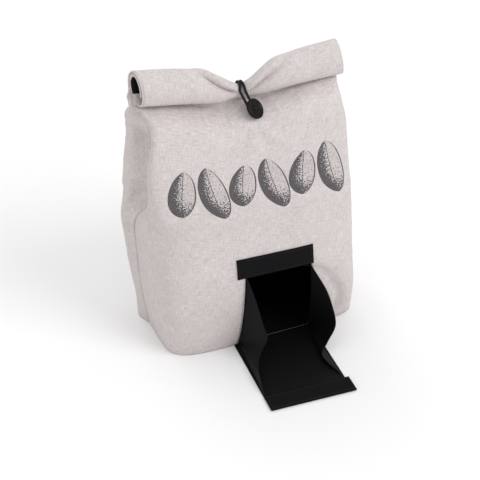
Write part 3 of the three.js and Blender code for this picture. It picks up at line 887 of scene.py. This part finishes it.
# Strip of linen over a panel's edge: sign is -1 at the bag's left end and 1 at its right
def edgeStrip(name, sign, rows, place, uvAt):
    bm = clothGrid(edging["across"], rows, place, uvAt)
    if sign < 0:
        bmesh.ops.reverse_faces(bm, faces=bm.faces)
    thicken(finished(name, bm, plainLinen), edging["thick"])


# Linen folded over both panels' edges at the seam, from where they part to the first turn's end
def edgeFold(name, column):
    frontRows, frontPlace, cloth = panelGrid("front", 0, 0, relief, roll["linenTurns"])
    backPlace = panelGrid("back", 0, 0, relief, roll["turns"])[1]
    low = edging["from"] * bag["neck"]
    first = next(row for row in range(grid["body"]) if rowHeight(row, 0) > low)
    sign, across = (1 if column else -1), edging["across"]
    rows = range(first, frontRows + 1)
    ends = [(frontPlace(column, row), backPlace(panelColumns - column, row)) for row in rows]

    def place(i, j):
        a, b = ends[j]
        out = math.sin(math.pi * i / across) * (edging["swell"] * (b - a).length + 0.6)
        return a.lerp(b, i / across) + Vector((sign * out, 0, 0))

    def uvAt(i, j):
        u, v = cloth[column, first + j]
        return u + i / 20, v

    edgeStrip(name, sign, frontRows - first, place, uvAt)


# Linen's edge at the end of the roll's second turn
def innerFold(name, x, sign):
    rows, across = edging["innerRows"], edging["across"]

    def place(i, j):
        into = lerp(-roll["stack"] / 2, edging["innerReach"], i / across)
        point = rollPoint(x, lerp(*edging["inner"], j / rows), into)[0]
        return point + Vector((sign * (0.4 + 0.9 * math.sin(math.pi * i / across)), 0, 0))

    edgeStrip(name, sign, rows, place, lambda i, j: (i / 20, j / 8))


linenPanel("linenFront", "front", printedLinen, "front_panel")
linenPanel("linenBack", "back", plainLinen, "back_panel")
liningPanel("liningFront", "front", "lining_front")
liningPanel("liningBack", "back", "lining_back")
edgeFold("edgeFoldLeft", 0)
edgeFold("edgeFoldRight", panelColumns)
innerFold("innerFoldLeft", neckLeft, -1)
innerFold("innerFoldRight", neckRight, 1)
print("panels made")


# Flat bottom of a cloth bag: a ring of the wall's points, filled and given its thickness upwards.
# It lies at the height bottom, and its edge lies depth inside the panels' outer face.
def bottomCloth(name, bottom, depth, thick, finish, node):
    bm = bmesh.new()
    layer = bm.loops.layers.uv.new("cloth")
    ring = []
    for side in ("front", "back"):
        for i in range(panelColumns):
            share = (frontShare if side == "front" else backShare)(i, bottom)
            point = facePoint(side, bottom, share)
            normal = faceNormal(side, bottom, share) if 0 < i < panelColumns else Vector((0, 0, 0))
            inside = point - Vector((normal.x, normal.y, 0)) * depth
            if i == 0:
                inside = point + Vector((depth if side == "front" else -depth, 0, 0))
            ring.append(bm.verts.new(Vector((inside.x, inside.y, bottom)) * mm))
    bm.faces.new(ring)
    bmesh.ops.triangulate(bm, faces=bm.faces, quad_method="BEAUTY", ngon_method="BEAUTY")
    for face in bm.faces:
        for corner in face.loops:
            corner[layer].uv = corner.vert.co.x * 100, corner.vert.co.y * 100
    thicken(finished(name, bm, finish, (node,), smoothFaces=False), thick, offset=1.0)


bottomCloth("linenBase", 0.0, 1.2, 1.0, plainLinen, "base_panel")
bottomCloth("liningBase", 1.4, 2.4, 0.6, blackCloth, "lining_base")


# How deep a tape is pressed down at its stitches and its edge
def pressed(edge, border):
    return 0.45 * bump(edge, border, 0.7) + 0.25 * bump(edge, 0, 0.8)


# Places on the cloth of a flat rectangle
def flatUv(width, height, columns, rows):
    return lambda i, j: (width * i / columns / 10, height * j / rows / 10)


# Patch of tape or cloth that follows a panel; its border is pressed down along the stitching
def patch(name, side, sizes, low, seat, finish, node, border):
    width, height, thick = sizes["width"], sizes["height"], sizes["thick"]
    sign = 1 if side == "front" else -1
    cell = 1.6
    columns, rows = round(width / cell), round(height / cell)

    def place(i, j):
        x = sizes["middle"] + sign * width * (i / columns - 0.5)
        up = height * j / rows
        edge = min(i / columns * width, (1 - i / columns) * width, up, height - up)
        wave = 0.25 * noise.noise(Vector((x / 18, up / 20, 30)))
        return panelPoint(side, x, low + up, seat + thick - pressed(edge, border) + wave)

    bm = clothGrid(columns, rows, place, flatUv(width, height, columns, rows))
    thicken(finished(name, bm, finish, (node,)), thick)


tapeLow = hatch["height"] - tape["lap"]
tapeSizes = {
    "width": tape["length"], "height": tape["height"], "thick": tape["thick"],
    "middle": tape["middle"],
}
patch(
    "hookStrip", "front", tapeSizes, tapeLow, chute["gap"], hookTape, "front_strip",
    tape["border"],
)
tabLow = loop["tabTop"] * bag["neck"] - loop["tabHeight"]
tabBorder = 2.0
tabSizes = {
    "width": loop["tabWidth"], "height": loop["tabHeight"], "thick": loop["tabThick"],
    "middle": loop["x"],
}
patch("loopTab", "back", tabSizes, tabLow, 0.9, plainLinen, "loop_tab", tabBorder)

# Chute: the tongue lies forward on the floor, with a folded side of cloth left and right

chuteLeft = hatch["middle"] - chute["width"] / 2
chuteRight = hatch["middle"] + chute["width"] / 2
hingeLeft = panelPoint("front", chuteLeft, chute["thick"], chute["gap"])
hingeRight = panelPoint("front", chuteRight, chute["thick"], chute["gap"])
chuteFront = min(hingeLeft.y, hingeRight.y) - chute["length"]
tapeWide = chute["width"] + chute["tapeOverhang"]
tapeFront = chuteFront - chute["tapeAhead"]


def chuteTongue():
    columns, rows = 60, 74

    def place(i, j):
        share = i / columns
        back = lerp(hingeLeft.y, hingeRight.y, share)
        y = lerp(back, chuteFront, j / rows)
        x = lerp(chuteLeft, chuteRight, share)
        edge = min(share, 1 - share) * chute["width"]
        forward = (j / rows) * chute["length"]
        wave = 0.5 * (1 + noise.noise(Vector((x / 34, y / 30, 4))))
        flat = smooth(chute["length"] - forward, 26, 40)  # under the tape
        lift = 0.7 * wave * smooth(edge, 2, 16) * smooth(forward, 3, 20) * flat
        hem = 0.35 * bump(edge, 3.4, 1.0)
        return Vector((x, y, chute["thick"] + lift - hem))

    bm = clothGrid(columns, rows, place, flatUv(chute["width"], -chute["length"], columns, rows))
    bmesh.ops.reverse_faces(bm, faces=bm.faces)
    piece = finished("chuteTongue", bm, blackCloth, ("chute_floor",))
    thicken(piece, chute["tongueWall"])


binding = {"height": 3, "thick": 0.2, "seat": 0.25, "below": 0.2, "wider": 0.5}


# Narrow tape over the fold where the tongue leaves the bag
def hingeBinding():
    columns, rows = 70, 6
    left = hatchSide(0, -1) - binding["wider"]
    width = hatchSide(0, 1) + binding["wider"] - left

    def place(i, j):
        height = chute["thick"] - binding["below"] + binding["height"] * j / rows
        return panelPoint("front", left + width * i / columns, height, binding["seat"])

    bm = clothGrid(columns, rows, place, flatUv(width, binding["height"], columns, rows))
    thicken(finished("hingeBinding", bm, blackCloth), binding["thick"])


def flapTape():
    width, deep = tapeWide, chute["tapeWidth"]
    columns, rows = 70, 16

    def place(i, j):
        edge = min(i / columns, 1 - i / columns) * width
        edge = min(edge, j / rows * deep, (1 - j / rows) * deep)
        return Vector((
            chuteLeft + width * i / columns,
            tapeFront + deep * (1 - j / rows),
            chute["thick"] + chute["gap"] + tape["thick"] - pressed(edge, tape["border"]),
        ))

    bm = clothGrid(columns, rows, place, flatUv(width, deep, columns, rows))
    bmesh.ops.reverse_faces(bm, faces=bm.faces)
    thicken(finished("flapTape", bm, hookTape, ("flap_strip",)), tape["thick"])


# Fan of cloth from the hinge's corner to its free edge, between the hatch's and the tongue's edge
def chuteGusset(name, sign, edgeRows, node):
    rest = chute["thick"] + chute["gap"] + chute["gusset"]
    inset = chute["gap"] + chute["gusset"]
    hinge = hingeLeft if sign < 0 else hingeRight
    corner = Vector((hatchSide(0, sign) - sign * inset, hinge.y - chute["gusset"], rest))
    columnNames = ("at", "out", "forward", "up")
    curve = ShapeTable(columnNames, [(k, *row) for k, row in enumerate(edgeRows)])
    last = len(edgeRows) - 1
    columns, rows = 56, 36

    def seamPoint(height):
        x = hatchSide(height, sign) - sign * inset
        return panelPoint("front", x, height, -chute["gusset"] / 2)

    def edgePoint(at):
        row = curve.read(at)
        reach = chute["width"] * (0.5 + row["out"])
        return Vector((
            hatch["middle"] + sign * reach,
            corner.y - row["forward"] * chute["length"],
            rest + row["up"] * hatch["height"],
        ))

    topHeight = rest + edgeRows[0][2] * hatch["height"]
    top = seamPoint(topHeight)

    def place(i, j):
        run = lerp(0.04, 1, j / rows)
        share = i / columns
        edge = edgePoint(last * share).lerp(top, max(1 - share * last, 0))
        point = corner.lerp(edge, run)
        stitched = seamPoint(lerp(rest, topHeight, run))
        point += (stitched - corner.lerp(top, run)) * (1 - share) ** 2
        sway = noise.noise(Vector((point.x / 26, point.y / 30, point.z / 24)))
        free = smooth(share, 0.05, 0.4) * (1 - smooth(share, 0.75, 0.97)) * smooth(run, 0.2, 0.7)
        return point + Vector((sign * 1.2 * sway * free, 0, 0))

    def uvAt(i, j):
        return i / columns * 12, j / rows * 9

    bm = clothGrid(columns, rows, place, uvAt)
    if sign > 0:
        bmesh.ops.reverse_faces(bm, faces=bm.faces)
    piece = finished(name, bm, blackCloth, (node,))
    thicken(piece, chute["gussetWall"], offset=0.0)


chuteTongue()
hingeBinding()
flapTape()
chuteGusset("gussetLeft", -1, leftEdge, "chute_gusset_left")
chuteGusset("gussetRight", 1, rightEdge, "chute_gusset_right")
print("chute made")

# Button, its thread and the loop

buttonSeat = panelPoint("front", coatButton["x"], 0.98 * bag["neck"], 0.6)
buttonOut = Vector((0.48, -0.62, 0.62)).normalized()
buttonMiddle = buttonSeat + buttonOut * coatButton["lift"]
downwards = Vector((0.2, -0.75, -0.6))
buttonDown = (downwards - buttonOut * downwards.dot(buttonOut)).normalized()
buttonAcross = buttonOut.cross(buttonDown)


def buttonFrame(middle):
    turn = Matrix((buttonAcross, -buttonDown, buttonOut)).transposed().to_4x4()
    return Matrix.Translation(middle * mm) @ turn


def spunShape(profile, steps):
    bm = bmesh.new()
    line = [bm.verts.new((r * mm, 0, z * mm)) for r, z in profile]
    edges = [bm.edges.new(pair) for pair in zip(line, line[1:])]
    bmesh.ops.spin(
        bm, geom=[*line, *edges], cent=(0, 0, 0), axis=(0, 0, 1), angle=2 * math.pi,
        steps=steps, use_merge=True, use_duplicate=False,
    )
    bmesh.ops.remove_doubles(bm, verts=bm.verts, dist=0.000005)
    bmesh.ops.recalc_face_normals(bm, faces=bm.faces)
    return bm


def makeButton():
    radius, half = coatButton["diameter"] / 2, coatButton["thick"] / 2
    wide, tall, rounding = coatButton["underWide"], coatButton["underTall"], coatButton["rounding"]
    inner, face = radius - coatButton["rim"], half - coatButton["dish"]
    profile = [(0, -half)]
    for a in (0, 0.5, 1.0, 1.4):
        across = radius - wide - 0.2 + wide * math.sin(a)
        profile.append((across, -half + tall - tall * math.cos(a)))
    profile.append((radius, half - rounding - 0.1))
    for a in (0.4, 0.9, 1.57):
        across = radius - rounding + rounding * math.cos(a)
        profile.append((across, half - rounding + rounding * math.sin(a)))
    profile += [(inner, half - 0.1), (inner - 0.5, half - 0.6), (inner - 1.4, face)]
    profile += [(5.2, face - 0.15), (4.6, face - 0.1), (0, face)]  # a slight ring round the holes
    piece = finished(
        "coatButton", spunShape(profile, 72), hornPlastic, ("button",),
    )
    drills = bmesh.new()
    drill = coatButton["hole"] / 2 * mm
    for hole in range(4):
        angle = (hole + 0.5) * math.pi / 2
        at = Vector((math.cos(angle), math.sin(angle), 0)) * coatButton["holeCircle"] / 2 * mm
        bmesh.ops.create_cone(
            drills, cap_ends=True, segments=24, radius1=drill, radius2=drill, depth=0.02,
            matrix=Matrix.Translation(at),
        )
    cutter = meshObject("drills", drills)
    cut = piece.modifiers.new("holes", "BOOLEAN")
    cut.operation, cut.solver, cut.object = "DIFFERENCE", "EXACT", cutter
    bpy.context.view_layer.update()
    shown = piece.evaluated_get(bpy.context.evaluated_depsgraph_get())
    drilled = bpy.data.meshes.new_from_object(shown)
    piece.modifiers.clear()
    piece.data = drilled
    drilled.transform(buttonFrame(buttonMiddle))
    bpy.data.objects.remove(cutter)


# Round cord along points, with a surface braided as deep as braid
def cordTube(name, points, diameter, around, steps, braid, finish, nodes):
    curve = ShapeTable(("at", "x", "y", "z"), [(k, *p) for k, p in enumerate(points)])
    last = len(points) - 1
    centres = [Vector([*curve.read(k / steps * last).values()]) for k in range(steps + 1)]
    sides, aheads, runs = [], [], [0.0]
    for k in range(steps + 1):
        ahead = (centres[min(k + 1, steps)] - centres[max(k - 1, 0)]).normalized()
        side = sides[-1] if sides else ahead.orthogonal().normalized()
        sides.append((side - ahead * side.dot(ahead)).normalized())
        aheads.append(ahead)
        if k:
            runs.append(runs[-1] + (centres[k] - centres[k - 1]).length)

    def place(i, j):
        angle = 2 * math.pi * i / around
        out = sides[j] * math.cos(angle) + aheads[j].cross(sides[j]) * math.sin(angle)
        left, right = math.sin(3 * angle + runs[j] * 1.9), math.sin(3 * angle - runs[j] * 1.9)
        return centres[j] + out * (diameter / 2 + braid * (max(left, right) - 1))

    bm = clothGrid(around, steps, place, lambda i, j: (i / around, runs[j] / 10), wraps=True)
    bmesh.ops.holes_fill(bm, edges=[e for e in bm.edges if e.is_boundary], sides=0)
    bmesh.ops.recalc_face_normals(bm, faces=bm.faces)
    finished(name, bm, finish, nodes)


# From the tab over the roll, round the button's shank and back
def loopPath():
    radius = loop["diameter"] / 2
    clear, overRoll = radius + 0.3, radius + 0.6
    roundShank = coatButton["shank"] / 2 + clear + 0.5
    level = buttonMiddle - buttonOut * (coatButton["thick"] / 2 + clear + 0.4)

    def strand(sign):
        x = loop["x"] + sign * (radius + 0.1)
        heights = [share * bag["neck"] for share in (loop["tabTop"], 0.95, 0.975)]
        back = [panelPoint("back", x, height, overRoll) for height in heights]
        turned = ((15, 0), (50, 0), (85, 0), (120, 0), (155, 0.6), (190, 1.4))  # degrees, outwards
        outside = -roll["stack"] / 2 - overRoll
        return back + [rollPoint(x + sign * out, turn, outside)[0] for turn, out in turned]

    shank = []
    for degrees in (-110, -70, -35, 0, 35, 70, 110):
        a = math.radians(degrees)
        across, down = roundShank * math.sin(a), roundShank * math.cos(a)
        shank.append(level + buttonAcross * across + buttonDown * down)
    return strand(-1) + shank + strand(1)[::-1]


# Two threads each way between the holes, crossing in the middle
def buttonThreads():
    paths = []
    spread = coatButton["holeCircle"] / 2 * math.cos(math.pi / 4)
    top = coatButton["thick"] / 2 - coatButton["dish"]
    turned = buttonFrame(Vector((0, 0, 0))).to_3x3()
    for sign in (-1, 1):
        for lane in (-0.28, 0.28):
            path = []
            for share in (0, 0.12, 0.3, 0.5, 0.7, 0.88, 1):
                x = spread * (2 * share - 1)
                sunk = 2.2 * (bump(share, 0, 0.07) + bump(share, 1, 0.07))  # into the holes
                z = top + 0.35 * math.sin(math.pi * share) ** 0.5 - sunk
                point = Vector((x, sign * x + lane, z + 0.25 * (sign > 0)))
                path.append(buttonMiddle + turned @ point)
            paths.append(path)
    return paths


def shankThread():
    length = coatButton["lift"] - coatButton["thick"] / 2 - 0.3
    turns, perTurn = 7, 12
    radius = coatButton["shank"] / 2 - 0.35
    points = []
    for k in range(turns * perTurn + 1):
        angle = 2 * math.pi * k / perTurn
        up = length * k / (turns * perTurn)
        side = buttonAcross * math.cos(angle) + buttonDown * math.sin(angle)
        points.append(buttonSeat + buttonOut * up + side * radius)
    return points


makeButton()
cordTube(
    "shankThread", shankThread(), 0.9, 8, 336, 0.03, blackThread, ("button_thread",),
)
for number, path in enumerate(buttonThreads()):
    cordTube(f"holeThread{number}", path, 0.55, 8, 40, 0.02, blackThread, ())
cordTube(
    "elasticLoop", loopPath(), loop["diameter"], 20, 420, 0.16, braidedElastic,
    ("elastic_loop",),
)
print("button and loop made")

stitch = {"length": 2.2, "pitch": 3.2, "thick": 0.5}
hatchStitch = {"length": 2.5, "pitch": 4.0, "thick": 0.6}


# Rows of stitches: each is a small rounded bar lying on the cloth
def stitchRow(name, points, outs, sizes, finish):
    bm = bmesh.new()
    length, pitch, thick = sizes["length"], sizes["pitch"], sizes["thick"]
    runs = [0.0]
    for a, b in zip(points, points[1:]):
        runs.append(runs[-1] + (b - a).length)
    count = int(runs[-1] / pitch)
    for k in range(count):
        run = pitch * (k + 0.5) * runs[-1] / (count * pitch)
        i = min(max(bisect.bisect_left(runs, run), 1), len(runs) - 1)
        part = (run - runs[i - 1]) / (runs[i] - runs[i - 1])
        middle = points[i - 1].lerp(points[i], part)
        along = (points[i] - points[i - 1]).normalized()
        out = outs[i - 1].lerp(outs[i], part)
        out = (out - along * out.dot(along)).normalized()
        turn = Matrix((along, out.cross(along), out)).transposed().to_4x4()
        size = Matrix.Diagonal((length / 2 * mm, thick * 0.6 * mm, thick / 2 * mm, 1))
        place = Matrix.Translation((middle + out * thick * 0.15) * mm)
        lying = Matrix.Rotation(math.pi / 2, 4, "Y")
        bmesh.ops.create_uvsphere(
            bm, u_segments=8, v_segments=6, radius=1, matrix=place @ turn @ size @ lying,
        )
    finished(name, bm, finish)


def panelRow(side, ends, outwards, count=40):
    (x0, low), (x1, high) = ends
    points, outs = [], []
    for k in range(count + 1):
        x, height = lerp(x0, x1, k / count), lerp(low, high, k / count)
        points.append(panelPoint(side, x, height, outwards))
        outs.append(faceNormal(side, height, shareAtX(side, height, x)))
    return points, outs


def flatRow(level, ends, count=30):
    (x0, y0), (x1, y1) = ends
    places = [(lerp(x0, x1, k / count), lerp(y0, y1, k / count)) for k in range(count + 1)]
    return [Vector((x, y, level)) for x, y in places], [Vector((0, 0, 1))] * (count + 1)


# Four rows round a rectangle; rowBetween gives the points between two corners
def stitchFrame(name, left, right, low, high, finish, rowBetween):
    corners = [(left, low), (right, low), (right, high), (left, high), (left, low)]
    for number, ends in enumerate(zip(corners, corners[1:])):
        stitchRow(f"{name}{number}", *rowBetween(ends), stitch, finish)


def patchStitches(name, side, sizes, low, inset, finish):
    left = sizes["middle"] - sizes["width"] / 2 + inset
    right = sizes["middle"] + sizes["width"] / 2 - inset
    bottom, top = low + inset, low + sizes["height"] - inset
    stitchFrame(name, left, right, bottom, top, finish, lambda ends: panelRow(side, ends, 1.75))


for name, sign in (("hatchStitchesLeft", -1), ("hatchStitchesRight", 1)):
    ends = [(hatchSide(h, sign) + sign * 3.2, h) for h in (3, hatch["height"] - 2)]
    stitchRow(name, *panelRow("front", ends, 0.1), hatchStitch, whiteThread)

patchStitches("stripStitches", "front", tapeSizes, tapeLow, tape["border"], blackThread)
patchStitches("tabStitches", "back", tabSizes, tabLow, tabBorder, whiteThread)

for name, x, hinge in (
    ("tongueStitchesLeft", chuteLeft + 3.4, hingeLeft),
    ("tongueStitchesRight", chuteRight - 3.4, hingeRight),
):
    row = flatRow(chute["thick"], ((x, hinge.y - 6), (x, chuteFront + 27)))
    stitchRow(name, *row, stitch, blackThread)

tapeTop = chute["thick"] + chute["gap"] + tape["thick"] - 0.1
stitchFrame(
    "flapStitches", chuteLeft + tape["border"], chuteLeft + tapeWide - tape["border"],
    tapeFront + tape["border"], tapeFront + chute["tapeWidth"] - tape["border"],
    blackThread, lambda ends: flatRow(tapeTop, ends),
)
print("stitches made")

# Floor, light and camera

studio = {
    "floor": (0.86, 0.86, 0.86, 1),
    "world": 0.84,
    "distance": 1.835,
    "azimuth": -20,
    "elevation": 35.4,
    "target": (0, 0, 0.109),
    "lens": 109.65,
}

lamps = {  # watts, size and place in metres
    "key": (34.0, 1.6, (1.3, -1.7, 2.1)),
    "fill": (5.0, 1.8, (-1.9, -1.4, 1.2)),
    "back": (12.0, 1.6, (-0.4, 1.9, 1.9)),
}


def makeFloor():
    bm = bmesh.new()
    bmesh.ops.create_grid(bm, x_segments=1, y_segments=1, size=12)
    floor = meshObject("floor", bm)
    finish = Finish("paleFloor", Roughness=0.9)
    finish.shade("Base Color", studio["floor"])
    floor.data.materials.append(finish.material)


def areaLight(name, power, size, place, target=(0, 0, 0.17)):
    light = bpy.data.lights.new(name, "AREA")
    light.energy = power
    light.shape = "DISK"
    light.size = size
    lamp = bpy.data.objects.new(name, light)
    lamp.location = place
    lamp.rotation_euler = (Vector(target) - Vector(place)).to_track_quat("-Z", "Y").to_euler()
    bpy.context.collection.objects.link(lamp)


def makeCamera():
    azimuth, elevation = math.radians(studio["azimuth"]), math.radians(studio["elevation"])
    back = Vector((
        math.sin(azimuth) * math.cos(elevation),
        -math.cos(azimuth) * math.cos(elevation),
        math.sin(elevation),
    ))
    data = bpy.data.cameras.new("camera")
    data.lens = studio["lens"]
    data.sensor_width = 36
    camera = bpy.data.objects.new("camera", data)
    camera.location = Vector(studio["target"]) + back * studio["distance"]
    camera.rotation_euler = (-back).to_track_quat("-Z", "Y").to_euler()
    bpy.context.collection.objects.link(camera)
    bpy.context.scene.camera = camera


makeFloor()
for name, (power, size, place) in lamps.items():
    areaLight(name, power, size, place)
world = bpy.data.worlds.new("studio")
world.use_nodes = True
world.node_tree.nodes["Background"].inputs["Color"].default_value = (1, 1, 1, 1)
world.node_tree.nodes["Background"].inputs["Strength"].default_value = studio["world"]
bpy.context.scene.world = world
bpy.context.scene.view_settings.view_transform = "Standard"
makeCamera()
print("studio made")
